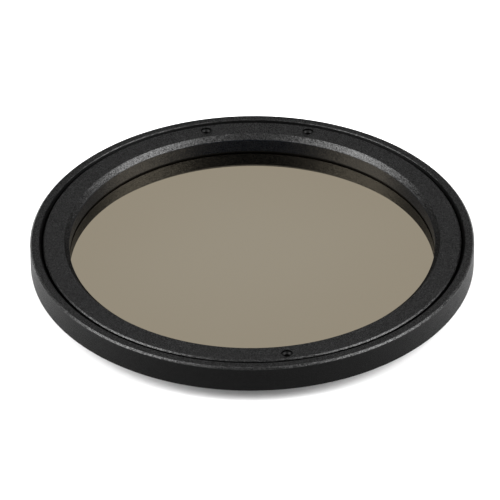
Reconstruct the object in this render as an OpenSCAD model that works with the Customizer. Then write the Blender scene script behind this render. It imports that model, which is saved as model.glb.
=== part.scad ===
// Front-mounted solar filter for a small telescope, a turned aluminium cell
// with a metal-coated glass disc clamped between two flat gaskets.
// Millimetres. The origin is the centre of the rear face and +Z is the optical
// axis, towards the Sun. The ring widths add up from the glass outwards, and
// the heights add up from the rear face to the front face.

/* [Filter glass] */
// Diameter of the coated glass disc
glass_d = 86.2; // [50:0.1:160]
// Thickness of the glass disc
glass_t = 2.5; // [1.5:0.1:4]
// Width of the glass edge that both rings cover
glass_cover = 1.8; // [1:0.1:4]
// Bevel ground on both edges of the glass
glass_bevel = 0.2; // [0.1:0.05:0.4]

/* [Gaskets] */
// Thickness of the gasket in front of the glass
front_gasket_t = 0.4; // [0.2:0.05:0.8]
// Thickness of the gasket behind the glass
rear_gasket_t = 0.45; // [0.2:0.05:0.8]
// Distance that the gaskets stay back from the clear opening
gasket_setback = 0.2; // [0.1:0.05:0.6]

/* [Cell] */
// Radial room between the edge of the glass and its bore
glass_room = 0.3; // [0.1:0.05:0.6]
// Wall of the threaded skirt, from the glass bore to the thread's crest
skirt_wall = 1.6; // [1.4:0.1:3]
// Height of the threaded skirt below the shoulder
skirt_h = 3.4; // [2.6:0.1:6]
// Width of the shoulder that seats against the telescope
shoulder_w = 5.1; // [4.5:0.1:8]
// Height of the outer wall, from the shoulder to the front face
rim_h = 6.2; // [5.6:0.1:9]
// Thickness of the rim beside the gap around the front ring
rim_w = 2.5; // [2:0.1:3]
// Thickness of the web between the shoulder and the pocket's floor
web_t = 2.7; // [2.2:0.1:3]
// Thickness of the ledge that carries the glass from behind
ledge_t = 2; // [1:0.1:2.4]
// Bevel on the rim's outer edge
rim_bevel = 0.4; // [0.2:0.05:0.8]
// Width of the steep lead-in on the rim's inner edge
lead_in_w = 0.5; // [0.2:0.05:0.8]
// Height of the steep lead-in on the rim's inner edge
lead_in_h = 0.8; // [0.3:0.05:1]
// Bevel on the shoulder's outer edge and on the rear opening
rear_bevel = 0.2; // [0.1:0.05:0.5]

/* [Rear thread] */
// Bevel at the start of the thread
thread_start = 0.4; // [0.2:0.1:0.7]
// Depth of the run-out groove between the thread and the shoulder
runout_depth = 0.7; // [0.5:0.1:1]
// Width of the run-out groove
runout_w = 0.7; // [0.5:0.1:1]

/* [Front ring] */
// Depth of the front ring's flat below the rim
ring_sink = 0.1; // [0:0.01:0.3]
// Open gap between the front ring and the rim
ring_gap = 0.45; // [0.2:0.05:0.8]
// Height of the gap's plain wall, from the lead-in down to the threaded land
gap_wall_h = 0.6; // [0.3:0.1:1.2]
// Step by which the threaded land stands in from the rim's wall
land_step = 0.2; // [0.1:0.05:0.4]
// Radial clearance of the threaded land
land_clearance = 0.05; // [0.02:0.01:0.1]
// Space between the front ring's flange and the pocket's floor
flange_lift = 0.3; // [0.2:0.05:0.5]
// Radial room between the front ring's neck and the glass bore
neck_room = 0.2; // [0.1:0.05:0.4]
// Bevel from the front ring's flat down to the clear opening
lip_bevel = 1.1; // [0.6:0.05:1.6]
// Bevel on the front ring's outer edge
ring_bevel = 0.3; // [0.1:0.05:0.6]

/* [Set screws] */
// Thread diameter of the set screws
screw_d = 2.5; // [2.4:0.1:3]
// Length of the set screws
screw_len = 3; // [2.4:0.1:3.2]
// Distance from the front ring's outer wall to the screws' centres
screw_inset = 2.15; // [1.9:0.05:2.3]
// Radial clearance of a screw in its hole
screw_clearance = 0.03; // [0.01:0.01:0.05]
// Size of the hexagon socket across its flats
socket_af = 1.3; // [0.9:0.1:1.5]
// Depth of the hexagon socket
socket_depth = 1.3; // [0.8:0.1:1.8]
// Width of the flat rim between the screw's bevel and its socket's cone
screw_face = 0.05; // [0.05:0.05:0.1]
// Bevel on both ends of a set screw
screw_bevel = 0.1; // [0.05:0.05:0.15]
// Angle of the first set screw about the optical axis
screw_1_angle = 73; // [55:0.5:85]
// Angle of the second set screw
screw_2_angle = 103.5; // [95:0.5:200]
// Angle of the third set screw
screw_3_angle = 279.5; // [210:0.5:350]

/* [Hidden] */
$fn = 180;

glass_r = glass_d / 2;
clear_r = glass_r - glass_cover;
bore_r = glass_r + glass_room;
thread_r = bore_r + skirt_wall;
outer_r = thread_r + shoulder_w;
pocket_r = outer_r - rim_w;
land_r = pocket_r - land_step;
ring_r = pocket_r - ring_gap;
screw_circle_r = ring_r - screw_inset;
screw_hole_r = screw_d / 2 + screw_clearance;

glass_z = ledge_t + rear_gasket_t;
glass_top_z = glass_z + glass_t;
neck_z = glass_top_z + front_gasket_t;
floor_z = skirt_h + web_t;
flange_z = floor_z + flange_lift;
front_z = skirt_h + rim_h;
ring_z = front_z - ring_sink;
lead_in_z = front_z - lead_in_h;
land_z = lead_in_z - gap_wall_h;

// A cut runs this far past the face that it opens
past = 1;

ANODISED = "#1c1c1e";
COATED = "#96907c";
RUBBER = "#0c0c0c";
OXIDE = "#2a2a2c";

// A flat ring with its lower face at height z
module flat_ring(from_r, to_r, z, t) {
  translate([0, 0, z])
    rotate_extrude()
      translate([from_r, 0])
        square([to_r - from_r, t]);
}

// One revolved section: skirt, shoulder, rim, pocket, glass bore and ledge
module cell() {
  color(ANODISED)
    rotate_extrude()
      polygon([
        [clear_r + rear_bevel, 0],
        [thread_r - thread_start, 0],
        [thread_r, thread_start],
        [thread_r, skirt_h - runout_w],
        [thread_r - runout_depth, skirt_h - runout_w],
        [thread_r - runout_depth, skirt_h],
        [outer_r - rear_bevel, skirt_h],
        [outer_r, skirt_h + rear_bevel],
        [outer_r, front_z - rim_bevel],
        [outer_r - rim_bevel, front_z],
        [pocket_r + lead_in_w, front_z],
        [pocket_r, lead_in_z],
        [pocket_r, land_z],
        [land_r, land_z - land_step],
        [land_r, floor_z],
        [bore_r, floor_z],
        [bore_r, ledge_t],
        [clear_r, ledge_t],
        [clear_r, rear_bevel]
      ]);
}

module rear_gasket() {
  color(RUBBER)
    flat_ring(clear_r + gasket_setback, glass_r, ledge_t, rear_gasket_t);
}

module filter_glass() {
  color(COATED)
    rotate_extrude()
      polygon([
        [0, glass_z],
        [glass_r - glass_bevel, glass_z],
        [glass_r, glass_z + glass_bevel],
        [glass_r, glass_top_z - glass_bevel],
        [glass_r - glass_bevel, glass_top_z],
        [0, glass_top_z]
      ]);
}

module front_gasket() {
  color(RUBBER)
    flat_ring(clear_r + gasket_setback, glass_r, glass_top_z, front_gasket_t);
}

// A place on the screw circle at one angle
module at_screw(angle) {
  rotate([0, 0, angle])
    translate([screw_circle_r, 0, 0])
      children();
}

// The section of the front ring: neck, flange, threaded land and wide lip
module front_ring_section() {
  neck_r = bore_r - neck_room;
  polygon([
    [clear_r, neck_z],
    [neck_r, neck_z],
    [neck_r, flange_z],
    [land_r - land_clearance, flange_z],
    [land_r - land_clearance, land_z - land_step - land_clearance],
    [ring_r, land_z],
    [ring_r, ring_z - ring_bevel],
    [ring_r - ring_bevel, ring_z],
    [clear_r + lip_bevel, ring_z],
    [clear_r, ring_z - lip_bevel]
  ]);
}

module front_ring() {
  color(ANODISED)
    difference() {
      rotate_extrude()
        front_ring_section();
      for (angle = [screw_1_angle, screw_2_angle, screw_3_angle])
        at_screw(angle)
          translate([0, 0, flange_z - past])
            cylinder(r = screw_hole_r, h = front_z - flange_z + 2 * past, $fn = 48);
    }
}

// A headless screw that stands on the pocket's floor and locks the front ring
module set_screw(angle) {
  screw_r = screw_d / 2;
  socket_r = socket_af / 2 / cos(30);
  lead_r = screw_r - screw_bevel - screw_face;
  color(OXIDE)
    at_screw(angle)
      translate([0, 0, floor_z])
        difference() {
          rotate_extrude($fn = 48)
            polygon([
              [0, 0],
              [screw_r - screw_bevel, 0],
              [screw_r, screw_bevel],
              [screw_r, screw_len - screw_bevel],
              [screw_r - screw_bevel, screw_len],
              [lead_r, screw_len],
              [socket_r, screw_len - lead_r + socket_r],
              [0, screw_len - lead_r + socket_r]
            ]);
          translate([0, 0, screw_len - socket_depth])
            cylinder(r = socket_r, h = socket_depth, $fn = 6);
        }
}

cell();
rear_gasket();
filter_glass();
front_gasket();
front_ring();
set_screw(screw_1_angle);  // set_screw_1
set_screw(screw_2_angle);  // set_screw_2
set_screw(screw_3_angle);  // set_screw_3
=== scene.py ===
"""Looks of the front-mounted telescope solar filter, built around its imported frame.

Lengths are in metres, in the frame's own axes: +Z is the optical axis, and the
photograph is taken from the -Y side. Sizes that the frame holds are read from
it, and the rest are named fields of the piece that they belong to.
"""
import logging
import math
from contextlib import contextmanager
from dataclasses import dataclass
from enum import Enum
from typing import Any, Iterator, Optional, Union

import bpy
from mathutils import Matrix, Vector


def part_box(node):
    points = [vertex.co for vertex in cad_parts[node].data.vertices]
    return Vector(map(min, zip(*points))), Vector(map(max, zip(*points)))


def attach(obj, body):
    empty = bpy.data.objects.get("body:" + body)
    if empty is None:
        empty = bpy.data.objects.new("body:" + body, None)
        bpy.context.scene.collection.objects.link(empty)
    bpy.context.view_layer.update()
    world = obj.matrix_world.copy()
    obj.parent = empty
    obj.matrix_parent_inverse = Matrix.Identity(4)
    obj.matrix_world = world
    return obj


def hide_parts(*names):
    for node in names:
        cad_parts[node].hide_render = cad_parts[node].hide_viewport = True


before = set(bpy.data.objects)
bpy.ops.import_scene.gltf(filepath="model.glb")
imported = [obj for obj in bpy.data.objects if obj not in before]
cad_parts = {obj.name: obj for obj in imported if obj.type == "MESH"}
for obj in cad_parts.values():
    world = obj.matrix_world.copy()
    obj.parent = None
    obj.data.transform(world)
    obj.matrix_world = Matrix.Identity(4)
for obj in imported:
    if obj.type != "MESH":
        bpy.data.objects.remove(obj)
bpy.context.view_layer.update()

BODY = "root"
GASKETS = ("front_gasket", "rear_gasket")
SCREWS = ("set_screw_1", "set_screw_2", "set_screw_3")
MM = 0.001
CLEAR_R = 41.3 * MM
TURN_STEPS = 512
HOLE_STEPS = 64
WELD = 1e-6
BROKEN_ANGLE = math.radians(18.0)
SMOOTH_ANGLE = math.radians(40.0)
ROOT_3 = math.sqrt(3.0)
MID_COLOUR = (0.5, 0.5, 0.5)
log = logging.getLogger("solar_filter")

Colour = tuple[float, float, float, float]
Outline = list[tuple[float, float]]
Span = tuple[float, float]


class Value:
    """A node's output socket that Python operators do shader maths on."""

    def __init__(self, graph: "Graph", socket: bpy.types.NodeSocket) -> None:
        """Keeps the graph that new Math nodes go into, and the socket itself."""
        self.graph = graph
        self.socket = socket

    def _math(self, operation: str, first: Any, second: Any) -> "Value":
        """Adds one Math node.

        Args:
            operation: the Math node's operation.
            first: a number or a Value for the first socket.
            second: a number or a Value for the second socket.

        Returns:
            The node's result.
        """
        return self.graph.node("ShaderNodeMath", {0: first, 1: second}, operation=operation).out()

    def __add__(self, other: Any) -> "Value":
        """This plus other."""
        return self._math("ADD", self, other)

    def __radd__(self, other: Any) -> "Value":
        """Other plus this."""
        return self._math("ADD", other, self)

    def __rsub__(self, other: Any) -> "Value":
        """Other minus this."""
        return self._math("SUBTRACT", other, self)

    def __mul__(self, other: Any) -> "Value":
        """This times other."""
        return self._math("MULTIPLY", self, other)

    def __truediv__(self, other: Any) -> "Value":
        """This divided by other."""
        return self._math("DIVIDE", self, other)

    def at_least(self, limit: Any) -> "Value":
        """The larger of this and a limit."""
        return self._math("MAXIMUM", self, limit)

    def ramp(self, low: float, high: float, to_low: float = 0.0, to_high: float = 1.0) -> "Value":
        """Maps this smoothly from one span of values to another.

        Args:
            low: the value that gives to_low.
            high: the value that gives to_high.
            to_low: the result at and below low.
            to_high: the result at and above high.

        Returns:
            The mapped value.
        """
        sockets = {"Value": self, "From Min": low, "From Max": high, "To Min": to_low, "To Max": to_high}
        return self.graph.node("ShaderNodeMapRange", sockets, interpolation_type="SMOOTHSTEP").out()


class Made:
    """One node of a graph, with its outputs as Values."""

    def __init__(self, graph: "Graph", node: bpy.types.Node) -> None:
        """Keeps the graph and the node."""
        self.graph = graph
        self.node = node

    def out(self, name: Union[str, int] = 0) -> Value:
        """One output of the node, by name or place."""
        return Value(self.graph, self.node.outputs[name])


class Graph:
    """A node tree that is filled by one method, node, and short forms of it."""

    # The Mix node repeats its socket names for each data type, so its colours go by place
    MIX_FIRST = 6
    MIX_SECOND = 7
    MIX_RESULT = 2

    def __init__(self, tree: bpy.types.NodeTree) -> None:
        """Empties the tree."""
        self.tree = tree
        tree.nodes.clear()

    def node(self, kind: str, sockets: Optional[dict[Any, Any]] = None, **settings: Any) -> Made:
        """Adds a node.

        Args:
            kind: the node's type name.
            sockets: its input sockets, each with a constant, a Value or a Made.
            **settings: its own settings, set first.

        Returns:
            The new node.
        """
        made = self.tree.nodes.new(kind)
        for name, value in settings.items():
            setattr(made, name, value)
        for name, value in (sockets or {}).items():
            if isinstance(value, Made):
                value = value.out()
            if isinstance(value, Value):
                self.tree.links.new(value.socket, made.inputs[name])
            else:
                made.inputs[name].default_value = value
        return Made(self, made)

    def place(self) -> Value:
        """The point's object coordinates."""
        return self.node("ShaderNodeTexCoord").out("Object")

    def vector(self, operation: str, *vectors: Any) -> Made:
        """A Vector Math node."""
        return self.node("ShaderNodeVectorMath", dict(enumerate(vectors)), operation=operation)

    def noise(self, place: Value, size: float, detail: float) -> Value:
        """A noise whose coarsest features have one size."""
        sockets = {"Vector": place, "Scale": 1.0 / size, "Detail": detail}
        return self.node("ShaderNodeTexNoise", sockets).out()

    def bump(self, height: Value, depth: float) -> Made:
        """A bump of one depth."""
        return self.node("ShaderNodeBump", {"Strength": 1.0, "Distance": depth, "Height": height})

    def mix(self, factor: Any, first: Any, second: Any) -> Value:
        """A colour between two colours, the first at 0 and the second at 1."""
        sockets = {"Factor": factor, self.MIX_FIRST: first, self.MIX_SECOND: second}
        return self.node("ShaderNodeMix", sockets, data_type="RGBA").out(self.MIX_RESULT)

    def blend(self, share: Any, first: Made, second: Made) -> Made:
        """A shader between two shaders, the first at 0 and the second at 1."""
        return self.node("ShaderNodeMixShader", {"Fac": share, 1: first, 2: second})

    def surface(self, shader: Made) -> None:
        """Makes a shader the material's surface."""
        self.node("ShaderNodeOutputMaterial", {"Surface": shader})


def material(name: str) -> tuple[bpy.types.Material, Graph]:
    """A new material with an empty node graph.

    Args:
        name: the material's name.

    Returns:
        The material and its graph.
    """
    made = bpy.data.materials.new(name)
    made.use_nodes = True
    return made, Graph(made.node_tree)


def grey(level: float) -> Colour:
    """A neutral colour."""
    return (level, level, level, 1.0)


@dataclass(frozen=True)
class BlastedAnodise:
    """Black anodised aluminium over a bead-blasted surface.

    The blasting leaves facets about a seventh of a millimetre wide, each tilted and
    polished a little differently, so the surface sparkles in each lamp's
    reflection. Some of the facets are quiet: they shine less. Three kinds of wall
    are quiet all over: those inside inner_r and above inner_z, those outside
    outer_r and below outer_z, and those of the screw holes. The bore beside the
    glass is partly quiet, and its colour holds a painted cool cast: painted light
    that offsets the warm reflection that the bore gets from the glass.
    """

    name: str
    dark: float = 0.0006
    light: float = 0.002
    # Painted light: a cool cast painted into the bore's colour, against the warm reflection of the
    # glass.
    painted_cool_cast: Colour = (0.0006, 0.0018, 0.0045, 1.0)
    grain: float = 0.15 * MM
    grit_size: float = 0.125 * MM
    cloud_size: float = 9.0 * MM
    tilt: float = 0.22
    pits: float = 0.015 * MM
    facet_tone: float = 0.6
    tone_span: Span = (0.2, 0.8)
    roughness: float = 0.30
    roughness_spread: float = 0.10
    gloss: float = 0.48
    quiet_roughness: float = 0.34
    quiet_gloss: float = 0.18
    quiet_tint: float = 0.2
    quiet_matte: float = 0.4
    quiet_span: Span = (0.25, 0.95)
    quietest_facet: float = 0.8
    quiet_bore: float = 0.6
    soft: float = 0.03 * MM
    bore_r: float = 0.0
    inner_r: float = 0.0
    inner_z: float = 0.0
    outer_r: float = 0.0
    outer_z: float = 0.0
    hole_r: float = 0.0
    holes: tuple[tuple[float, float], ...] = ()

    def quiet_walls(self, graph: Graph, place: Value) -> tuple[Value, Value]:
        """Where the surface is quieter than elsewhere.

        Args:
            graph: the material's graph.
            place: the point's object coordinates.

        Returns:
            1 on the quiet walls and 0 elsewhere, and the same for the bore, which also takes the painted
            cool cast.
        """
        soft = self.soft
        parts = graph.node("ShaderNodeSeparateXYZ", {0: place})
        height = parts.out("Z")
        flat = graph.node("ShaderNodeCombineXYZ", {"X": parts.out("X"), "Y": parts.out("Y")})
        radius = graph.vector("LENGTH", flat).out("Value")
        below = height.ramp(self.outer_z - soft, self.outer_z + soft, 1.0, 0.0)
        where = radius.ramp(self.outer_r - soft, self.outer_r) * below
        if self.inner_r:
            above = height.ramp(self.inner_z - soft, self.inner_z + soft)
            where = where + radius.ramp(self.inner_r - soft, self.inner_r, 1.0, 0.0) * above
        for x, y in self.holes:
            away = graph.vector("DISTANCE", flat, (x, y, 0.0)).out("Value")
            where = where + away.ramp(self.hole_r, self.hole_r + soft, 1.0, 0.0)
        return where, radius.ramp(self.bore_r, self.bore_r + soft, 1.0, 0.0)

    def make(self) -> bpy.types.Material:
        """Builds the material.

        Returns:
            The finished material.
        """
        made, graph = material(self.name)
        place = graph.place()
        sockets = {"Vector": place, "Scale": 1.0 / self.grain}
        facets = graph.node("ShaderNodeTexVoronoi", sockets, feature="F1")
        grit = graph.noise(place, self.grit_size, detail=1.0)
        cloud = graph.noise(place, self.cloud_size, detail=3.0)
        chance = graph.node("ShaderNodeSeparateColor", {"Color": facets.out("Color")})
        inside = graph.vector("SUBTRACT", place, facets.out("Position"))
        lean = graph.vector("SUBTRACT", facets.out("Color"), MID_COLOUR)
        slope = graph.vector("DOT_PRODUCT", inside, lean).out("Value")
        bump = graph.bump(slope * (self.tilt / self.pits) + grit, self.pits)
        walls, bore = self.quiet_walls(graph, place)
        tone = chance.out("Red") * self.facet_tone + cloud * (1.0 - self.facet_tone)
        colour = graph.mix(tone.ramp(*self.tone_span), grey(self.dark), grey(self.light))
        # Painted light: the bore's colour is swapped for a painted cool cast that offsets the glass's
        # warm reflection.
        colour = graph.mix(bore, colour, self.painted_cool_cast)
        smoothest = self.roughness - self.roughness_spread
        bright = graph.node(
            "ShaderNodeBsdfPrincipled",
            {
                "Base Color": colour,
                "Roughness": smoothest + chance.out("Green") * (2.0 * self.roughness_spread),
                "Specular IOR Level": self.gloss,
                "Normal": bump,
            },
        )
        plain = graph.node(
            "ShaderNodeBsdfPrincipled",
            {
                "Base Color": colour,
                "Roughness": self.quiet_roughness,
                "Specular IOR Level": self.quiet_gloss,
                "Specular Tint": grey(self.quiet_tint),
                "Normal": bump,
            },
        )
        matte = graph.node("ShaderNodeBsdfDiffuse", {"Color": grey(self.light)})
        quiet = graph.blend(self.quiet_matte, plain, matte)
        share = chance.out("Blue").ramp(*self.quiet_span, 0.0, self.quietest_facet)
        share = share.at_least(walls).at_least(bore * self.quiet_bore)
        graph.surface(graph.blend(share, bright, quiet))
        return made


@dataclass(frozen=True)
class CoatedGlass:
    """Polished glass under a dense metal coating with a warm grey tint."""

    name: str = "coated_glass"
    middle: Colour = (0.300, 0.264, 0.200, 1.0)
    edge: Colour = (0.286, 0.248, 0.184, 1.0)
    drift_size: float = 30.0 * MM
    drift_share: float = 0.3
    tone_span: Span = (0.2, 1.0)
    haze_size: float = 2.0 * MM
    haze_span: Span = (0.3, 0.9)
    clearest: float = 0.012
    haziest: float = 0.030

    def make(self) -> bpy.types.Material:
        """Builds the material.

        Returns:
            The finished material.
        """
        made, graph = material(self.name)
        place = graph.place()
        radius = graph.vector("LENGTH", place).out("Value")
        drift = graph.noise(place, self.drift_size, detail=1.0)
        haze = graph.noise(place, self.haze_size, detail=4.0)
        tone = radius / CLEAR_R * (1.0 - self.drift_share) + drift * self.drift_share
        shader = graph.node(
            "ShaderNodeBsdfPrincipled",
            {
                "Base Color": graph.mix(tone.ramp(*self.tone_span), self.middle, self.edge),
                "Roughness": haze.ramp(*self.haze_span, self.clearest, self.haziest),
                "Metallic": 1.0,
            },
        )
        graph.surface(shader)
        return made


@dataclass(frozen=True)
class PlainFinish:
    """A small piece's finish: one tone broken up by a fine grain."""

    name: str
    dark: float
    light: float
    grain: float
    depth: float
    roughness: float
    gloss: float
    roughness_spread: float = 0.06

    def make(self) -> bpy.types.Material:
        """Builds the material.

        Returns:
            The finished material.
        """
        made, graph = material(self.name)
        grain = graph.noise(graph.place(), self.grain, detail=3.0)
        smoothest = self.roughness - self.roughness_spread
        shader = graph.node(
            "ShaderNodeBsdfPrincipled",
            {
                "Base Color": graph.mix(grain, grey(self.dark), grey(self.light)),
                "Roughness": smoothest + grain * (2.0 * self.roughness_spread),
                "Specular IOR Level": self.gloss,
                "Normal": graph.bump(grain, self.depth),
            },
        )
        graph.surface(shader)
        return made


class Edge(Enum):
    """How far a machined edge is broken, by how it was finished."""

    TUMBLED = 0.05 * MM
    CUT = 0.02 * MM


def clear_selection() -> None:
    """Leaves nothing selected, because the frame's nodes load selected."""
    bpy.ops.object.select_all(action="DESELECT")


def select_only(piece: bpy.types.Object) -> None:
    """Leaves one piece selected and active."""
    clear_selection()
    piece.select_set(True)
    bpy.context.view_layer.objects.active = piece


@contextmanager
def editing(piece: bpy.types.Object) -> Iterator[None]:
    """Holds a piece in edit mode, with its whole mesh selected at the start.

    Args:
        piece: the piece.

    Returns:
        A context for a with block, which gives no value.
    """
    select_only(piece)
    bpy.ops.object.mode_set(mode="EDIT")
    bpy.ops.mesh.select_all(action="SELECT")
    yield
    bpy.ops.object.mode_set(mode="OBJECT")


def settle(name: str) -> bpy.types.Object:
    """Names the primitive that was just added and moves its place into its mesh.

    Args:
        name: its name.

    Returns:
        The primitive's object.
    """
    piece = bpy.context.object
    piece.name = piece.data.name = name
    bpy.ops.object.transform_apply()
    return piece


def cylinder(name: str, radius: float, depth: float, centre: Vector, sides: int) -> bpy.types.Object:
    """A closed cylinder or prism along the optical axis.

    Args:
        name: its name.
        radius: the radius to its corners.
        depth: its height.
        centre: its middle.
        sides: the number of its sides.

    Returns:
        The cylinder.
    """
    clear_selection()
    bpy.ops.mesh.primitive_cylinder_add(vertices=sides, radius=radius, depth=depth, location=centre)
    return settle(name)


def turned(name: str, outline: Outline) -> bpy.types.Object:
    """Turns a closed outline about the optical axis.

    Args:
        name: the piece's name.
        outline: the corners as radius and height, all off the axis.

    Returns:
        The closed ring.
    """
    clear_selection()
    radius, height = outline[0]
    bpy.ops.mesh.primitive_circle_add(vertices=TURN_STEPS, radius=radius, location=(0.0, 0.0, height))
    piece = settle(name)
    with editing(piece):
        for (r_here, z_here), (r_next, z_next) in zip(outline, outline[1:] + outline[:1]):
            lift = (0.0, 0.0, z_next - z_here)
            bpy.ops.mesh.extrude_region_move(TRANSFORM_OT_translate={"value": lift})
            grow = r_next / r_here
            bpy.ops.transform.resize(value=(grow, grow, 1.0), center_override=(0.0, 0.0, 0.0))
        bpy.ops.mesh.select_all(action="SELECT")
        bpy.ops.mesh.remove_doubles(threshold=WELD)
        bpy.ops.mesh.normals_make_consistent(inside=False)
    return piece


def apply_modifier(piece: bpy.types.Object, kind: str, **settings: Any) -> None:
    """Adds a modifier, sets it and applies it.

    Args:
        piece: the object that it works on.
        kind: the modifier's type.
        **settings: its settings by name.
    """
    select_only(piece)
    modifier = piece.modifiers.new(kind.lower(), kind)
    for name, value in settings.items():
        setattr(modifier, name, value)
    bpy.ops.object.modifier_apply(modifier=modifier.name)


def cut(piece: bpy.types.Object, cutter: bpy.types.Object) -> None:
    """Cuts one shape out of a piece, deletes the cutter and welds the slivers.

    Args:
        piece: the piece that stays.
        cutter: the closed shape that is cut away.
    """
    apply_modifier(piece, "BOOLEAN", operation="DIFFERENCE", solver="EXACT", object=cutter)
    bpy.data.objects.remove(cutter)
    with editing(piece):
        bpy.ops.mesh.remove_doubles(threshold=WELD)
        bpy.ops.mesh.dissolve_degenerate(threshold=WELD)


def bevel(piece: bpy.types.Object, width: float, segments: int, **settings: Any) -> None:
    """Bevels the sharp edges of a piece.

    Args:
        piece: the piece.
        width: the bevel's width along each face.
        segments: the number of steps across it.
        **settings: more of the modifier's settings by name.
    """
    apply_modifier(piece, "BEVEL", width=width, segments=segments, limit_method="ANGLE", **settings)


def break_edges(piece: bpy.types.Object, edge: Edge) -> None:
    """Rounds every sharp edge of a piece a little."""
    bevel(piece, edge.value, 2, angle_limit=BROKEN_ANGLE)


def smooth(piece: bpy.types.Object) -> None:
    """Shades a piece smooth, with its flat faces kept flat."""
    select_only(piece)
    bpy.ops.object.shade_smooth_by_angle(angle=SMOOTH_ANGLE)
    apply_modifier(piece, "WEIGHTED_NORMAL", keep_sharp=True)


def dress(piece: bpy.types.Object, finish: bpy.types.Material, node: str) -> None:
    """Shades a piece smooth and gives it its finish and its place in the frame.

    Args:
        piece: the finished piece.
        finish: its material.
        node: the frame's node that it stands for.
    """
    smooth(piece)
    piece.data.materials.clear()
    piece.data.materials.append(finish)
    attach(piece, BODY)
    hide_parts(node)
    log.info("%s: %d faces", piece.name, len(piece.data.polygons))


def low_high(node: str) -> tuple[Vector, Vector]:
    """The lowest and highest corner of one of the frame's nodes."""
    low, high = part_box(node)
    return Vector(low), Vector(high)


@dataclass
class Cell:
    """The turned cell: threaded skirt, shoulder, rim, pocket and glass ledge."""

    outer_r: float
    front_z: float
    floor_z: float
    rim_w: float = 2.5 * MM
    rim_bevel: float = 0.4 * MM
    lead_in_w: float = 0.5 * MM
    lead_in_h: float = 0.8 * MM
    rear_bevel: float = 0.2 * MM
    land_step: float = 0.2 * MM
    gap_wall_h: float = 0.6 * MM
    bore_r: float = 43.4 * MM
    skirt_wall: float = 1.6 * MM
    skirt_h: float = 3.4 * MM
    ledge_t: float = 2.0 * MM
    thread_start: float = 0.4 * MM
    runout: float = 0.7 * MM
    pitch: float = 1.0 * MM
    thread_depth: float = 0.61 * MM
    thread_turns: int = 4
    steps_per_turn: int = 256
    tool_past: float = 0.15 * MM

    @property
    def thread_r(self) -> float:
        """Radius of the thread's crest."""
        return self.bore_r + self.skirt_wall

    @property
    def pocket_r(self) -> float:
        """Radius of the pocket's wall beside the gap."""
        return self.outer_r - self.rim_w

    @property
    def lead_in_z(self) -> float:
        """Height of the lead-in's foot."""
        return self.front_z - self.lead_in_h

    @property
    def land_z(self) -> float:
        """Height of the gap wall's foot, above the step to the threaded land."""
        return self.lead_in_z - self.gap_wall_h

    def outline(self) -> Outline:
        """The cell's section.

        Returns:
            Its corners as radius and height.
        """
        land_r = self.pocket_r - self.land_step
        return [
            (CLEAR_R + self.rear_bevel, 0.0),
            (self.thread_r - self.thread_start, 0.0),
            (self.thread_r, self.thread_start),
            (self.thread_r, self.skirt_h - self.runout),
            (self.thread_r - self.runout, self.skirt_h - self.runout),
            (self.thread_r - self.runout, self.skirt_h),
            (self.outer_r - self.rear_bevel, self.skirt_h),
            (self.outer_r, self.skirt_h + self.rear_bevel),
            (self.outer_r, self.front_z - self.rim_bevel),
            (self.outer_r - self.rim_bevel, self.front_z),
            (self.pocket_r + self.lead_in_w, self.front_z),
            (self.pocket_r, self.lead_in_z),
            (self.pocket_r, self.land_z),
            (land_r, self.land_z - self.land_step),
            (land_r, self.floor_z),
            (self.bore_r, self.floor_z),
            (self.bore_r, self.ledge_t),
            (CLEAR_R, self.ledge_t),
            (CLEAR_R, self.rear_bevel),
        ]

    def thread_tool(self) -> bpy.types.Object:
        """The screw-cutting tool's path: a 60 degree groove swept up the skirt.

        The tool's section is an equilateral triangle with one corner inwards, and
        its centre lies a third of its height inside its outer side.

        Returns:
            A closed helical shape to cut away.
        """
        side = 2.0 * (self.thread_depth + self.tool_past) / ROOT_3
        centre_r = self.thread_r + self.tool_past - side / (2.0 * ROOT_3)
        top_z = self.skirt_h - self.runout / 2.0
        clear_selection()
        bpy.ops.mesh.primitive_circle_add(
            vertices=3,
            radius=side / ROOT_3,
            location=(centre_r, 0.0, top_z - self.thread_turns * self.pitch),
            rotation=(math.radians(90.0), math.radians(-90.0), 0.0),
        )
        tool = settle("thread_tool")
        apply_modifier(
            tool,
            "SCREW",
            screw_offset=self.pitch,
            iterations=self.thread_turns,
            steps=self.steps_per_turn,
            render_steps=self.steps_per_turn,
        )
        with editing(tool):
            bpy.ops.mesh.remove_doubles(threshold=WELD)
            bpy.ops.mesh.fill_holes(sides=3)
            bpy.ops.mesh.normals_make_consistent(inside=False)
        return tool

    def build(self, finish: bpy.types.Material) -> None:
        """Turns the cell, breaks its edges, cuts its thread and dresses it.

        Args:
            finish: its material.
        """
        piece = turned("cell_body", self.outline())
        break_edges(piece, Edge.TUMBLED)
        cut(piece, self.thread_tool())
        dress(piece, finish, "cell")


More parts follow.
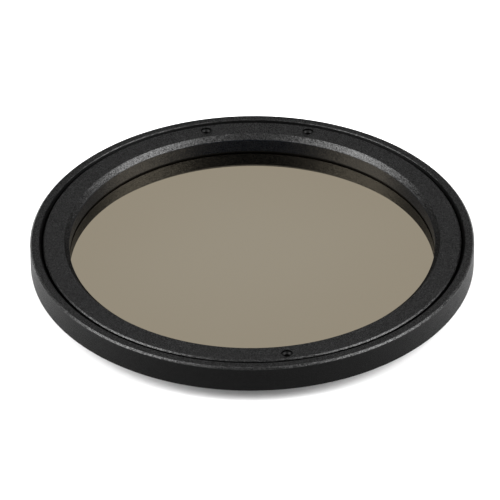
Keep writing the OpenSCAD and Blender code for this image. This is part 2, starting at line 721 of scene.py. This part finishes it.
@dataclass
class FrontRing:
    """The recessed ring that clamps the glass, with its three screw holes."""

    cell: Cell
    gap: float = 0.45 * MM
    land_clearance: float = 0.05 * MM
    flange_lift: float = 0.3 * MM
    neck_room: float = 0.2 * MM
    lip_bevel: float = 1.1 * MM
    ring_bevel: float = 0.3 * MM
    hole_r: float = 1.28 * MM
    drill_length: float = 8.0 * MM

    @property
    def ring_r(self) -> float:
        """Radius of the ring's outer wall."""
        return self.cell.pocket_r - self.gap

    def outline(self) -> Outline:
        """The ring's section.

        Returns:
            Its corners as radius and height.
        """
        low, high = low_high("front_ring")
        land_r, front_z = high.x, high.z
        neck_r = self.cell.bore_r - self.neck_room
        flange_z = self.cell.floor_z + self.flange_lift
        return [
            (CLEAR_R, low.z),
            (neck_r, low.z),
            (neck_r, flange_z),
            (land_r, flange_z),
            (land_r, self.cell.land_z - self.cell.land_step - self.land_clearance),
            (self.ring_r, self.cell.land_z),
            (self.ring_r, front_z - self.ring_bevel),
            (self.ring_r - self.ring_bevel, front_z),
            (CLEAR_R + self.lip_bevel, front_z),
            (CLEAR_R, front_z - self.lip_bevel),
        ]

    def build(self, finish: bpy.types.Material) -> None:
        """Turns the ring, drills it and dresses it.

        Args:
            finish: its material.
        """
        piece = turned("front_ring_body", self.outline())
        for screw in SCREWS:
            low, high = low_high(screw)
            cut(piece, cylinder("drill", self.hole_r, self.drill_length, (low + high) / 2.0, HOLE_STEPS))
        break_edges(piece, Edge.TUMBLED)
        dress(piece, finish, "front_ring")


@dataclass
class FilterGlass:
    """The coated glass disc with ground bevels."""

    bevel: float = 0.2 * MM

    def build(self, finish: bpy.types.Material) -> None:
        """Makes the disc and dresses it.

        Args:
            finish: its material.
        """
        low, high = low_high("filter_glass")
        piece = cylinder("glass_disc", high.x, high.z - low.z, (low + high) / 2.0, TURN_STEPS)
        bevel(piece, self.bevel, 1)
        dress(piece, finish, "filter_glass")


@dataclass
class Gasket:
    """A flat rubber ring on one side of the glass."""

    node: str
    setback: float = 0.2 * MM

    def build(self, finish: bpy.types.Material) -> None:
        """Makes the ring and dresses it.

        Args:
            finish: its material.
        """
        low, high = low_high(self.node)
        inner_r = CLEAR_R + self.setback
        outline = [(inner_r, low.z), (high.x, low.z), (high.x, high.z), (inner_r, high.z)]
        piece = turned(f"{self.node}_ring", outline)
        break_edges(piece, Edge.CUT)
        dress(piece, finish, self.node)


@dataclass
class SetScrew:
    """A headless screw with a hexagon socket."""

    node: str
    socket_af: float = 1.3 * MM
    socket_depth: float = 1.3 * MM
    bevel: float = 0.1 * MM
    face: float = 0.05 * MM
    tool_past: float = 0.2 * MM

    def socket_tools(self, end: Vector, radius: float) -> list[bpy.types.Object]:
        """The hexagon and the cone that leads into it.

        Args:
            end: the middle of the screw's front end.
            radius: the screw's radius.

        Returns:
            The two shapes to cut away.
        """
        socket_r = self.socket_af / ROOT_3
        lead_r = radius - self.bevel - self.face
        hexagon = cylinder("hexagon", socket_r, 2.0 * self.socket_depth, end, 6)
        depth = lead_r - socket_r + self.tool_past
        clear_selection()
        bpy.ops.mesh.primitive_cone_add(
            vertices=HOLE_STEPS,
            radius1=socket_r,
            radius2=lead_r + self.tool_past,
            depth=depth,
            location=end + Vector((0.0, 0.0, self.tool_past - depth / 2.0)),
        )
        return [hexagon, settle("cone")]

    def build(self, finish: bpy.types.Material) -> None:
        """Makes the screw in its hole and dresses it.

        Args:
            finish: its material.
        """
        low, high = low_high(self.node)
        centre = (low + high) / 2.0
        radius = (high.x - low.x) / 2.0
        piece = cylinder(f"{self.node}_body", radius, high.z - low.z, centre, HOLE_STEPS)
        bevel(piece, self.bevel, 2)
        for tool in self.socket_tools(Vector((centre.x, centre.y, high.z)), radius):
            cut(piece, tool)
        break_edges(piece, Edge.CUT)
        dress(piece, finish, self.node)


@dataclass(frozen=True)
class SoftBox:
    """A round soft box: full inside its inner angle, nothing outside its outer one."""

    aim: tuple[float, float, float]
    inner: float
    outer: float
    level: float

    def light(self, graph: Graph, way: Value) -> Value:
        """The box's light from one direction.

        Args:
            graph: the world's graph.
            way: the direction.

        Returns:
            Its level there.
        """
        near = graph.vector("DOT_PRODUCT", way, tuple(Vector(self.aim).normalized())).out("Value")
        low, high = math.cos(math.radians(self.outer)), math.cos(math.radians(self.inner))
        return near.ramp(low, high) * self.level


@dataclass
class Studio:
    """The pale floor, the white surroundings and the camera."""

    floor_size: float = 6.0
    floor_paint: float = 0.8
    floor_glow: float = 0.12
    boxes: tuple[SoftBox, ...] = (
        SoftBox((-0.74, -0.20, 0.64), 6.0, 29.0, 14.0),
        SoftBox((0.74, -0.20, 0.64), 6.0, 29.0, 14.0),
        SoftBox((0.0, 0.10, 0.99), 12.0, 26.0, 3.5),
    )
    fill: float = 0.03
    card_side: Span = (-0.05, 0.35)
    card_foot: Span = (0.49, 0.54)
    card_head: Span = (0.62, 0.74)
    above_card: float = 0.15
    distance: float = 1.1334
    elevation: float = 0.60681
    roll: float = -0.00741
    pan: float = -0.00044
    tilt: float = -0.00257
    lens: float = 361.81
    sensor: float = 36.0
    clip: Span = (0.05, 20.0)

    def floor(self) -> None:
        """A white floor that keeps the filter's shadow."""
        clear_selection()
        bpy.ops.mesh.primitive_plane_add(size=self.floor_size, location=(0.0, 0.0, 0.0))
        floor = settle("floor")
        made, graph = material("floor_white")
        rays = graph.node("ShaderNodeLightPath")
        seen = rays.out("Is Camera Ray").at_least(rays.out("Is Glossy Ray"))
        seen = seen.at_least(rays.out("Is Transmission Ray"))
        paint = graph.node("ShaderNodeBsdfDiffuse", {"Color": grey(self.floor_paint)})
        glow = graph.node("ShaderNodeEmission", {"Color": grey(1.0), "Strength": self.floor_glow})
        lit = graph.node("ShaderNodeAddShader", {0: paint, 1: glow})
        graph.surface(graph.blend(seen, paint, lit))
        floor.data.materials.append(made)

    def surroundings(self) -> None:
        """A studio round the filter: white card behind, soft boxes at the sides and above."""
        world = bpy.data.worlds.new("studio")
        bpy.context.scene.world = world
        world.use_nodes = True
        graph = Graph(world.node_tree)
        way = graph.node("ShaderNodeTexCoord").out("Generated")
        parts = graph.node("ShaderNodeSeparateXYZ", {0: way})
        height, depth = parts.out("Z"), parts.out("Y")
        card = depth.ramp(*self.card_side) * height.ramp(*self.card_foot)
        card = card * height.ramp(*self.card_head, 1.0, self.above_card)
        level = self.fill + card * (1.0 - self.fill)
        for box in self.boxes:
            level = level + box.light(graph, way)
        rays = graph.node("ShaderNodeLightPath")
        white = rays.out("Is Camera Ray").at_least(rays.out("Is Transmission Ray"))
        strength = level * (1.0 - white) + white
        shader = graph.node("ShaderNodeBackground", {"Color": grey(1.0), "Strength": strength})
        graph.node("ShaderNodeOutputWorld", {"Surface": shader})

    def camera(self) -> None:
        """The photograph's view, aimed at the middle of the front face."""
        data = bpy.data.cameras.new("camera")
        data.lens = self.lens
        data.sensor_width = self.sensor
        data.clip_start, data.clip_end = self.clip
        target = Vector((0.0, 0.0, low_high("cell")[1].z))
        back = Vector((0.0, -math.cos(self.elevation), math.sin(self.elevation)))
        right = Vector((1.0, 0.0, 0.0))
        up = right.cross(-back)
        ahead = (-back + self.pan * right + self.tilt * up).normalized()
        right = (right - ahead * right.dot(ahead)).normalized()
        up = right.cross(ahead)
        turn = Matrix.Rotation(-self.roll, 3, ahead)
        camera = bpy.data.objects.new("camera", data)
        bpy.context.scene.collection.objects.link(camera)
        axes = Matrix((turn @ right, turn @ up, -ahead)).transposed().to_4x4()
        camera.matrix_world = Matrix.Translation(target + back * self.distance) @ axes
        bpy.context.scene.camera = camera

    def build(self) -> None:
        """Sets up the whole studio."""
        self.floor()
        self.surroundings()
        self.camera()
        bpy.context.scene.view_settings.view_transform = "Standard"
        log.info("studio: ready")


def cell_finish(cell: Cell) -> BlastedAnodise:
    """The cell's finish, quiet on its outer wall and down its side of the gap.

    Args:
        cell: the cell.

    Returns:
        Its finish.
    """
    broken = Edge.TUMBLED.value
    return BlastedAnodise(
        "anodised_coarse",
        inner_r=cell.pocket_r + cell.lead_in_w - 2.0 * broken,
        inner_z=cell.skirt_h + cell.pitch,
        outer_r=cell.outer_r - broken,
        outer_z=cell.front_z - cell.rim_bevel - broken,
    )


def ring_finish(ring: FrontRing) -> BlastedAnodise:
    """The front ring's finish, quiet on its outer wall, in its holes and in its bore.

    Args:
        ring: the front ring.

    Returns:
        Its finish.
    """
    broken = Edge.TUMBLED.value
    middles = [(low + high) / 2.0 for low, high in map(low_high, SCREWS)]
    return BlastedAnodise(
        "anodised_fine",
        bore_r=CLEAR_R + broken,
        outer_r=ring.ring_r - broken,
        outer_z=low_high("front_ring")[1].z - ring.ring_bevel - broken,
        hole_r=ring.hole_r,
        holes=tuple((middle.x, middle.y) for middle in middles),
    )


def main() -> None:
    """Builds the filter's pieces in order, then the studio."""
    logging.basicConfig(level=logging.INFO, format="%(name)s %(message)s")
    rim = low_high("cell")[1]
    cell = Cell(outer_r=rim.x, front_z=rim.z, floor_z=low_high(SCREWS[0])[0].z)
    ring = FrontRing(cell)
    rubber = PlainFinish("gasket_black", 0.002, 0.005, 0.3 * MM, 0.004 * MM, 0.7, gloss=0.1).make()
    oxide = PlainFinish("screw_oxide", 0.001, 0.004, 0.15 * MM, 0.006 * MM, 0.40, gloss=0.08).make()
    cell.build(cell_finish(cell).make())
    ring.build(ring_finish(ring).make())
    FilterGlass().build(CoatedGlass().make())
    for node in GASKETS:
        Gasket(node).build(rubber)
    for screw in SCREWS:
        SetScrew(screw).build(oxide)
    Studio().build()


if __name__ == "__main__":
    main()
